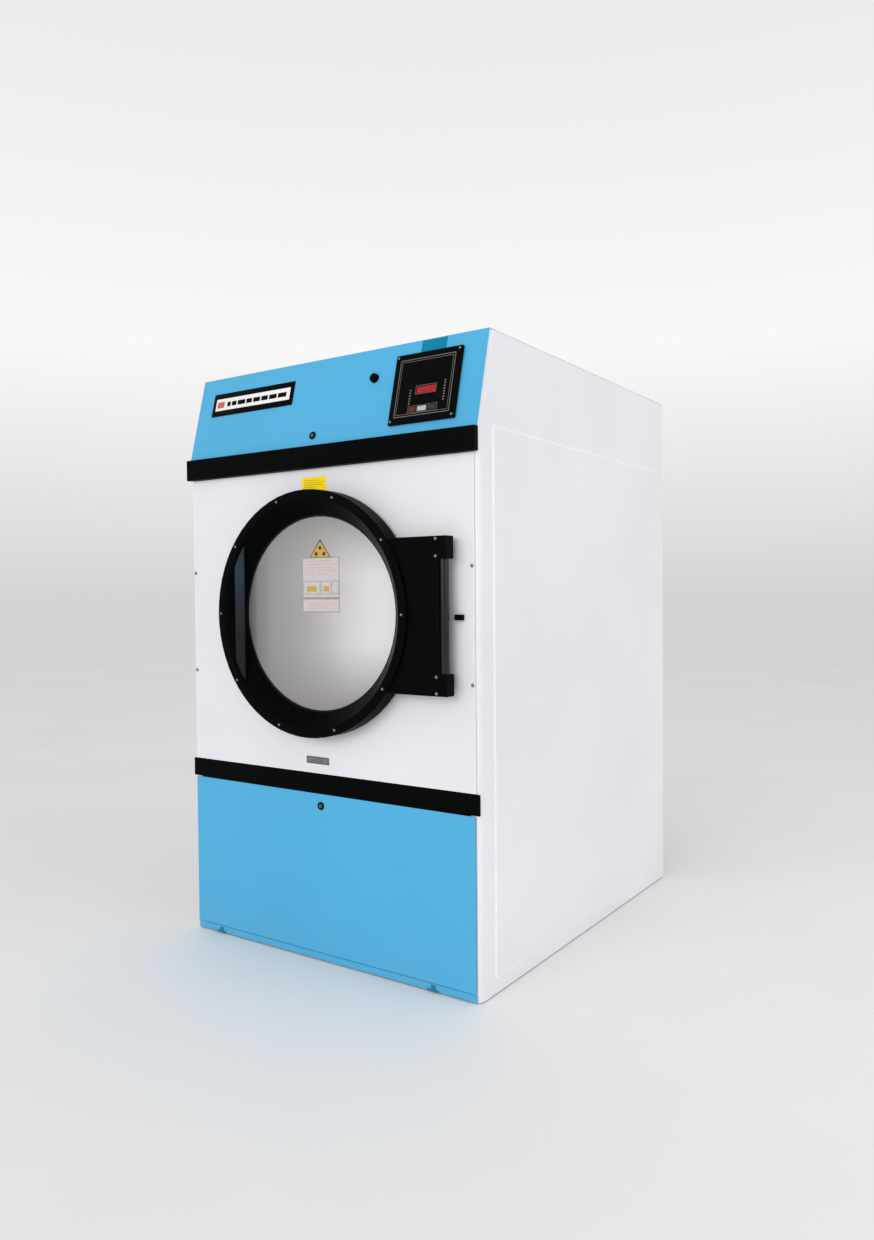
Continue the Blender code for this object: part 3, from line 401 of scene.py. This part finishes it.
class Shape:
    """A mesh under construction; place moves what is added from its own axes to the frame."""

    def __init__(self, place=None):
        self.bm = bmesh.new()
        self.place = place or Matrix()

    def add(self, part, look):
        for face in part.faces:
            face.material_index = look
        bmesh.ops.recalc_face_normals(part, faces=part.faces)
        part.transform(self.place)
        mesh = bpy.data.meshes.new("part")
        part.to_mesh(mesh)
        part.free()
        self.bm.from_mesh(mesh)
        bpy.data.meshes.remove(mesh)

    def slab(self, x, y, z, edge=0.0, segments=2, look=0):
        """Box over three (low, high) ranges, with rounded edges."""
        part = bmesh.new()
        size = [high - low for low, high in (x, y, z)]
        centre = [(high + low) / 2 for low, high in (x, y, z)]
        bmesh.ops.create_cube(part, size=1.0,
                              matrix=Matrix.Translation(centre) @ Matrix.Diagonal((*size, 1)))
        if edge:
            bmesh.ops.bevel(part, geom=part.edges[:], offset=edge, segments=segments,
                            profile=0.5, affect="EDGES")
        self.add(part, look)

    def prism(self, outline, low, high, along="Y", edge=0.0, look=0):
        """Extrude an outline of (x, z) points along Y, or of (y, z) points along X."""
        part = bmesh.new()

        def point(a, b, t):
            return (a, t, b) if along == "Y" else (t, a, b)

        front = [part.verts.new(point(a, b, low)) for a, b in outline]
        back = [part.verts.new(point(a, b, high)) for a, b in outline]
        part.faces.new(front)
        part.faces.new(back[::-1])
        for i in range(len(outline)):
            j = (i + 1) % len(outline)
            part.faces.new((front[j], front[i], back[i], back[j]))
        if edge:
            bmesh.ops.bevel(part, geom=part.edges[:], offset=edge, segments=2, profile=0.5,
                            affect="EDGES")
        self.add(part, look)

    def turned(self, rings, point, axis, steps=32, look=0, hoop=False):
        """Surface of rings (radius, height) about axis from point; a radius may be a function
        of the angle.  Flat faces close the two ends, or in a hoop the last ring meets the first."""
        part = bmesh.new()
        rows = []
        for radius, height in rings:
            row = []
            for i in range(steps):
                turn = math.tau * i / steps
                reach = radius(turn) if callable(radius) else radius
                row.append(part.verts.new((reach * math.cos(turn), reach * math.sin(turn), height)))
            rows.append(row)
        if hoop:
            rows.append(rows[0])
        else:
            part.faces.new(rows[0][::-1])
            part.faces.new(rows[-1])
        for lower, upper in zip(rows, rows[1:]):
            for i in range(steps):
                j = (i + 1) % steps
                part.faces.new((lower[i], lower[j], upper[j], upper[i]))
        turn = Vector((0, 0, 1)).rotation_difference(Vector(axis)).to_matrix().to_4x4()
        part.transform(Matrix.Translation(point) @ turn)
        self.add(part, look)

    def screw(self, point, axis, radius=0.006, height=0.003, recess="cross", look=0):
        """Pan head with a cross or hexagon recess."""
        def hexagon(turn):
            flat = 0.50 * radius * math.cos(math.pi / 6)
            return flat / math.cos(turn % (math.pi / 3) - math.pi / 6)

        def cross(turn):
            arm, half = 0.55 * radius, 0.14 * radius
            c, s = slopes(turn)
            return max(min(arm / c, half / s), min(half / c, arm / s))

        socket = cross if recess == "cross" else hexagon
        dome = [(radius, 0.0), (radius, 0.40 * height), (0.94 * radius, 0.72 * height),
                (0.82 * radius, 0.92 * height), (0.64 * radius, height)]
        self.turned([*dome, (socket, height), (socket, 0.45 * height)], point, axis, steps=40,
                    look=look)

    def frame(self, x, z, y, width, look=0):
        """Rectangular outline of four flat strips, inside the two ranges."""
        for span_x, span_z in ((x, (z[0], z[0] + width)), (x, (z[1] - width, z[1])),
                               ((x[0], x[0] + width), (z[0] + width, z[1] - width)),
                               ((x[1] - width, x[1]), (z[0] + width, z[1] - width))):
            self.slab(span_x, y, span_z, look=look)

    def lines(self, x, y, rows, height, look):
        """Blank lines in the place of print; each row is its z and its share of the width."""
        for z, share in rows:
            self.slab((x[0], x[0] + (x[1] - x[0]) * share), y, (z, z + height), look=look)


def piece(name, shape, body, looks):
    mesh = bpy.data.meshes.new(name)
    shape.bm.to_mesh(mesh)
    shape.bm.free()
    mesh.shade_smooth()
    mesh.set_sharp_from_angle(angle=SHARP_ANGLE)
    for look in looks:
        mesh.materials.append(look)
    made = bpy.data.objects.new(name, mesh)
    bpy.context.scene.collection.objects.link(made)
    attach(made, body)
    return made


# ---- front of the cabinet -------------------------------------------------------------------
def front_details():
    screws = Shape()
    for x in (-0.569, 0.569):
        for z in (0.912, 1.250):
            screws.screw((x, FRONT, z), FORWARD, 0.0055, 0.0030)
    piece("front_panel_screws", screws, "cabinet", [DULL_SCREW])

    levels = [FRONT - step for step in (0.0, 0.0016, 0.0019, 0.0021)]
    badge = Shape()
    badge.slab((-0.061, 0.032), (levels[1], levels[0]), (0.633, 0.656), edge=0.0006, look=0)
    badge.slab((-0.056, 0.027), (levels[2], levels[1]), (0.637, 0.652), look=1)
    badge.lines((-0.050, 0.021), (levels[3], levels[2]), ((0.6405, 1.0), (0.6460, 0.7)), 0.0022,
                look=0)
    piece("front_badge", badge, "cabinet", [DARK_SCREW, DULL_SCREW])

    label = Shape()
    label.slab((-0.068, 0.032), (FRONT - 0.0004, FRONT), (1.474, 1.543), look=0)
    label.lines((-0.058, 0.022), (FRONT - 0.0006, FRONT - 0.0004),
                ((1.532, 0.75), (1.525, 1.0), (1.518, 0.9), (1.511, 0.6)), 0.0022, look=1)
    piece("front_label", label, "cabinet", [FILM_YELLOW, INK_OCHRE])

    face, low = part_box("kick_strip")[0].yz
    # the tabs are painted in the blue paint's shaded tone, a painted shade
    for side, x in (("left", -0.464), ("right", 0.424)):
        tab = Shape()
        outline = ((x - 0.020, low), (x + 0.020, low), (x + 0.020, low + 0.005),
                   (x + 0.007, low + 0.007), (x + 0.007, low + 0.018), (x - 0.007, low + 0.018),
                   (x - 0.007, low + 0.007), (x - 0.020, low + 0.005))
        tab.prism(outline, face - 0.0030, face, edge=0.0005)
        tab.screw((x, face - 0.0030, low + 0.0042), FORWARD, 0.0026, 0.0012, look=1)
        piece(f"lint_hinge_tab_{side}", tab, "cabinet", [PAINTED_SHADE_TEAL, DARK_SCREW])


# ---- loading door ---------------------------------------------------------------------------
def door_details():
    count, circle = 10, 0.371
    screws = Shape()
    for number in range(count):
        turn = math.tau * number / count
        place = (circle * math.cos(turn), DOOR_FACE, DOOR_Z + circle * math.sin(turn))
        screws.screw(place, FORWARD, 0.0042, 0.0022)
    piece("door_ring_screws", screws, "main_door", [DULL_SCREW])

    plate_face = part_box("door_hinge_plate")[0].y
    bolts = Shape()
    for z in (0.889, 0.936, 1.278, 1.327):
        bolts.screw((0.4850, plate_face, z), FORWARD, 0.0048, 0.0028, "hexagon")
    piece("hinge_plate_bolts", bolts, "main_door", [DULL_SCREW])

    face = GLASS_FACE
    film = (face - 0.0003, face)
    ink = (face - 0.0005, face - 0.0003)
    wide, tall = (-0.065, 0.088), (1.117, 1.289)
    label = Shape()
    label.slab(wide, film, tall, look=0)
    label.frame(wide, tall, ink, 0.0022, look=1)
    label.lines((-0.056, 0.079), ink, ((1.276, 0.8), (1.266, 1.0), (1.256, 0.92), (1.246, 1.0),
                                       (1.236, 0.7)), 0.0030, look=2)
    label.slab((-0.063, 0.086), ink, (1.171, 1.216), look=3)
    for x in ((-0.058, 0.006), (0.016, 0.052), (0.060, 0.081)):
        label.slab(x, (face - 0.0006, face - 0.0005), (1.176, 1.211), look=0)
    for x in ((-0.046, -0.006), (0.022, 0.046)):
        label.slab(x, (face - 0.0007, face - 0.0006), (1.182, 1.199), look=4)
    label.slab((-0.063, 0.086), ink, (1.157, 1.164), look=1)
    label.lines((-0.052, 0.079), ink, ((1.144, 1.0), (1.136, 0.9), (1.128, 0.6)), 0.0026, look=2)
    piece("glass_label", label, "main_door", [STICKER, INK_GREY, INK_PINK, INK_SILVER, FILM_GOLD])

    left, right, middle, foot, peak = -0.034, 0.054, 0.010, 1.287, 1.347

    def corners(inset):
        return ((left + 1.7 * inset, foot + inset), (right - 1.7 * inset, foot + inset),
                (middle, peak - 2.0 * inset))

    triangle = Shape()
    triangle.prism(corners(0.0), *film, look=0)
    triangle.prism(corners(0.003), *ink, look=1)
    for x, z in ((-0.006, 1.300), (0.026, 1.300), (0.010, 1.319)):
        triangle.turned([(0.0062, 0.0), (0.0062, 0.0002)], (x, face - 0.0005, z), FORWARD,
                        steps=24, look=0)
    piece("glass_marker", triangle, "main_door", [INK_UMBER, FILM_GOLD])


# ---- control door ---------------------------------------------------------------------------
def control_details():
    holder, card, mark = (-0.0023, -0.0001), (-0.0029, -0.0023), (-0.0031, -0.0029)
    plate = Shape(SLOPE)
    plate.slab((-0.5185, -0.1415), holder, (0.1545, 0.2375), edge=0.0008, look=2)
    plate.slab((-0.5030, -0.1570), card, (0.1745, 0.2175), edge=0.0002, look=0)
    plate.slab((-0.495, -0.462), mark, (0.184, 0.206), look=1)
    for start, end in ((-0.448, -0.432), (-0.426, -0.404), (-0.398, -0.362), (-0.356, -0.330),
                       (-0.324, -0.292), (-0.286, -0.256), (-0.250, -0.216), (-0.210, -0.172)):
        plate.slab((start, end), mark, (0.187, 0.203), look=2)
    piece("name_plate", plate, "control_door",
          [PAPER, INK_RED, LOOKS["black_plastic"]])

    bezel_x, bezel_z = (0.275, 0.512), (0.031, 0.2535)
    window_x, window_z = (0.3670, 0.4340), (0.1210, 0.1415)
    keys_x, keys_z = (0.3475, 0.4450), (0.0640, 0.0790)

    def grown(span, margin):
        return span[0] - margin, span[1] + margin

    face = -0.0103
    ink = (face - 0.0003, face)
    marks = Shape(SLOPE)
    marks.frame(grown(bezel_x, -0.020), grown(bezel_z, -0.020), ink, 0.0022, look=0)
    marks.frame(grown(bezel_x, -0.027), grown(bezel_z, -0.027), ink, 0.0012, look=0)
    marks.frame(grown(window_x, 0.0035), grown(window_z, 0.0035), ink, 0.0012, look=0)
    marks.frame(grown(keys_x, 0.0035), grown(keys_z, 0.0035), ink, 0.0010, look=0)
    for x, low, rows, pitch in ((0.3430, 0.0880, 6, 0.0085), (0.4640, 0.0880, 8, 0.0085)):
        for row in range(rows):
            marks.slab((x, x + 0.0055), ink, (low + pitch * row, low + pitch * row + 0.0042), look=0)
    piece("keypad_print", marks, "control_door", [INK_TAUPE])

    screws = Shape(SLOPE)
    for x in grown(bezel_x, -0.0095):
        for z in grown(bezel_z, -0.0095):
            screws.screw((x, face, z), FORWARD, 0.0040, 0.0018)
    piece("keypad_screws", screws, "control_door", [DULL_SCREW])

    # painted shadow: a thin sheet in the blue's shaded tone along the slope's top edge, above the
    # keypad
    shade_sheet = Shape(SLOPE)
    shade_sheet.slab((0.357, 0.447), (-0.0004, 0.0), (0.256, 0.2945), look=0)
    piece("slope_painted_shade", shade_sheet, "control_door", [PAINTED_SHADE_TEAL])


def lock(name, place, face, node, body, cam_up):
    """Cylinder lock: dark head with a bright core and a keyway, barrel and cam."""
    x, z, matrix = place
    shape = Shape(matrix)
    point = (x, face, z)

    def keyway(turn):
        c, s = slopes(turn)
        return max(0.0009, min(0.0011 / c, 0.0042 / s))

    shape.turned([(0.0125, -0.0036), (0.0125, -0.0012), (0.0119, -0.0004), (0.0108, 0.0),
                  (0.0074, 0.0), (0.0070, -0.0010)], point, FORWARD, steps=48, look=0)
    shape.turned([(0.0066, -0.0012), (0.0064, -0.0003), (0.0060, 0.0), (keyway, 0.0),
                  (keyway, -0.0010)], (x, face - 0.0001, z), FORWARD, steps=48, look=1)
    shape.turned([(0.0100, -0.0160), (0.0100, -0.0037)], point, FORWARD, steps=32, look=1)
    reach = (-0.007, 0.023) if cam_up else (-0.023, 0.007)
    shape.slab((x - 0.006, x + 0.006), (face + 0.0136, face + 0.0165),
               (z + reach[0], z + reach[1]), edge=0.0007, look=1)
    made = piece(name, shape, body, [LOOKS["black_plastic"], DARK_SCREW])
    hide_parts(node)


# ---- rear and top ---------------------------------------------------------------------------
def louvre_hoods():
    """Pressed hood over each of the rear panel's slots."""
    hoods = Shape()
    thick, reach, drop, length = 0.0009, 0.0095, 0.0135, 0.160
    rows, pitch, first_top, steps = 8, 0.035, 1.515, 8
    for x in (-0.30, 0.0, 0.30):
        for row in range(rows):
            top = first_top + pitch * row
            outer, inner = [], []
            for i in range(steps + 1):
                turn = math.pi / 2 * i / steps
                outer.append((REAR + reach * math.sin(turn), top - drop * (1 - math.cos(turn))))
                inner.append((REAR + (reach - thick) * math.sin(turn),
                              top - thick - (drop - thick) * (1 - math.cos(turn))))
            hoods.prism(outer + inner[::-1], x - length / 2, x + length / 2, along="X")
            for end in (x - length / 2, x + length / 2 - thick):
                hoods.prism([(REAR, top - drop), *outer], end, end + thick, along="X")
    piece("rear_louvres", hoods, "cabinet", [LOOKS["zinc"]])


def rear_details():
    louvre_hoods()
    screws = Shape()
    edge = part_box("rear_upper_panel")[1].x - 0.012
    for side in (-1, 1):
        for z in (0.045, 0.230, 0.415, 0.590, 0.645, 0.880, 1.115, 1.350, 1.585, 1.820, 1.905):
            screws.screw((side * edge, REAR, z), BACKWARD, 0.0055, 0.0026)
    for z in (0.600, 0.634, 1.910, 0.030):
        for x in (-0.42, -0.21, 0.0, 0.21, 0.42):
            screws.screw((x, REAR, z), BACKWARD, 0.0055, 0.0026)
    piece("rear_panel_screws", screws, "cabinet", [ZINC_SCREW])

    top = Shape()
    for side in (-1, 1):
        for y in (-0.55, -0.20, 0.15, 0.50):
            top.screw((side * 0.560, y, TOP - 0.0004), UP, 0.0055, 0.0004)
    piece("top_cover_screws", top, "cabinet", [ZINC_SCREW])

    lid, foot = REAR + 0.045, 1.180
    box = Shape()
    box.slab((-0.530, -0.330), (REAR, lid), (foot, 1.380), edge=0.004, segments=3)
    for x in (-0.517, -0.343):
        for z in (1.193, 1.367):
            box.screw((x, lid, z), BACKWARD, 0.0050, 0.0024, look=1)
    box.lines((-0.480, -0.380), (lid, lid + 0.0004), ((1.300, 1.0), (1.290, 0.7)), 0.003, look=2)
    piece("terminal_box", box, "cabinet", [LOOKS["white_paint"], ZINC_SCREW, INK_GREY])
    gland = Shape()
    gland.turned([(0.0150, 0.0), (0.0150, 0.006), (0.0120, 0.0065), (0.0120, 0.018),
                  (0.0110, 0.022), (0.0065, 0.024), (0.0060, 0.016)],
                 (-0.430, REAR + 0.024, foot), (0, 0, -1), steps=24)
    piece("supply_gland", gland, "cabinet", [LOOKS["black_plastic"]])

    plate, print_top, line_pitch = REAR + 0.0008, 0.985, 0.010
    shares = (0.6, 1.0, 0.9, 1.0, 0.75, 1.0, 0.85, 0.5)
    data = Shape()
    data.slab((0.330, 0.470), (REAR, plate), (0.900, 1.000), edge=0.0003, look=0)
    data.lines((0.340, 0.460), (plate, plate + 0.0002),
               [(print_top - line_pitch * row, share) for row, share in enumerate(shares)],
               0.0030, look=1)
    piece("rear_plate", data, "cabinet", [ZINC_SCREW, INK_GREY])

    low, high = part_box("exhaust_duct")
    wall, bead = 0.1245, 0.0042
    centre = (0.400, high.y - 0.0085, (low.z + high.z) / 2)
    inside = wall - 0.0006
    arc = [math.pi * i / 8 for i in range(9)]
    section = [(inside, -bead), (inside, bead)]
    section += [(wall + bead * math.sin(turn), bead * math.cos(turn)) for turn in arc]
    collar = Shape()
    collar.turned(section, centre, BACKWARD, steps=96, hoop=True)
    piece("collar_bead", collar, "cabinet", [LOOKS["zinc"]])


front_details()
door_details()
control_details()
lock("control_lock_head", (-0.028, 0.036, SLOPE), -0.0040, "control_lock", "panel_lock", False)
lock("lint_lock_head", (0.0, 0.501, Matrix()), FRONT - 0.0080, "lint_lock", "lower_lock", True)
rear_details()


# ---- stage, light and camera ----------------------------------------------------------------
FLOOR_RADIUS = 60.0
WORLD_STRENGTH = 0.94
WORLD_STOPS = ((0.0, 0.70), (0.25, 1.0), (0.90, 0.72))   # height of the direction, grey
LIGHT_SIZE = (7.0, 4.0)
LIGHT_SPREAD = math.radians(100)
LIGHTS = {"key": ((0.2, -9.0, 3.4), (0, -0.5, 0.9), 97),  # place, target, watts
          "fill": ((9.0, 0.2, 3.4), (0.4, 0, 0.9), 79)}
CAMERA_PLACE = (1.9645, -2.9499, 1.1709)
CAMERA_TURN = (88.407, 0.464, 34.124)                # degrees
LENS, SENSOR = 27.13, 36.0                           # millimetres


def floor():
    s = Surface("studio_floor", Specular_IOR_Level=0.25)
    body = s.blend((0.80, 0.80, 0.80), (0.83, 0.83, 0.83), s.remap(s.noise(0.8, 3.0), 0.3, 0.7))
    look = s.finish(body, s.remap(s.noise(5.0), 0.3, 0.7, 0.50, 0.60), s.noise(150.0), 0.0001)
    bm = bmesh.new()
    bmesh.ops.create_circle(bm, cap_ends=True, segments=96, radius=FLOOR_RADIUS)
    mesh = bpy.data.meshes.new("floor")
    bm.to_mesh(mesh)
    bm.free()
    mesh.materials.append(look)
    disc = bpy.data.objects.new("floor", mesh)
    bpy.context.scene.collection.objects.link(disc)


def studio_world():
    """Even pale surroundings, dimmer overhead and towards the floor's far edge."""
    world = bpy.data.worlds.new("studio")
    world.use_nodes = True
    nodes, links = world.node_tree.nodes, world.node_tree.links
    place = nodes.new("ShaderNodeTexCoord").outputs["Generated"]
    split = nodes.new("ShaderNodeSeparateXYZ")
    ramp = nodes.new("ShaderNodeValToRGB")
    elements = ramp.color_ramp.elements
    elements.new(0.25)
    for element, (level, grey) in zip(elements, WORLD_STOPS):
        element.position = level
        element.color = (grey, grey, grey, 1.0)
    links.new(place, split.inputs[0])
    links.new(split.outputs["Z"], ramp.inputs["Fac"])
    background = nodes["Background"]
    links.new(ramp.outputs["Color"], background.inputs["Color"])
    background.inputs["Strength"].default_value = WORLD_STRENGTH
    bpy.context.scene.world = world


def area_light(name, place, target, watts):
    data = bpy.data.lights.new(name, "AREA")
    data.shape = "RECTANGLE"
    data.size, data.size_y = LIGHT_SIZE
    data.energy = watts
    data.spread = LIGHT_SPREAD
    lamp = bpy.data.objects.new(name, data)
    lamp.location = place
    lamp.rotation_euler = (Vector(target) - Vector(place)).to_track_quat("-Z", "Y").to_euler()
    bpy.context.scene.collection.objects.link(lamp)


floor()
studio_world()
for light, (place, target, watts) in LIGHTS.items():
    area_light(light, place, target, watts)

camera_data = bpy.data.cameras.new("camera")
camera_data.lens = LENS
camera_data.sensor_width = SENSOR
camera = bpy.data.objects.new("camera", camera_data)
camera.location = CAMERA_PLACE
camera.rotation_euler = [math.radians(angle) for angle in CAMERA_TURN]
bpy.context.scene.collection.objects.link(camera)
bpy.context.scene.camera = camera
bpy.context.scene.view_settings.view_transform = "Standard"
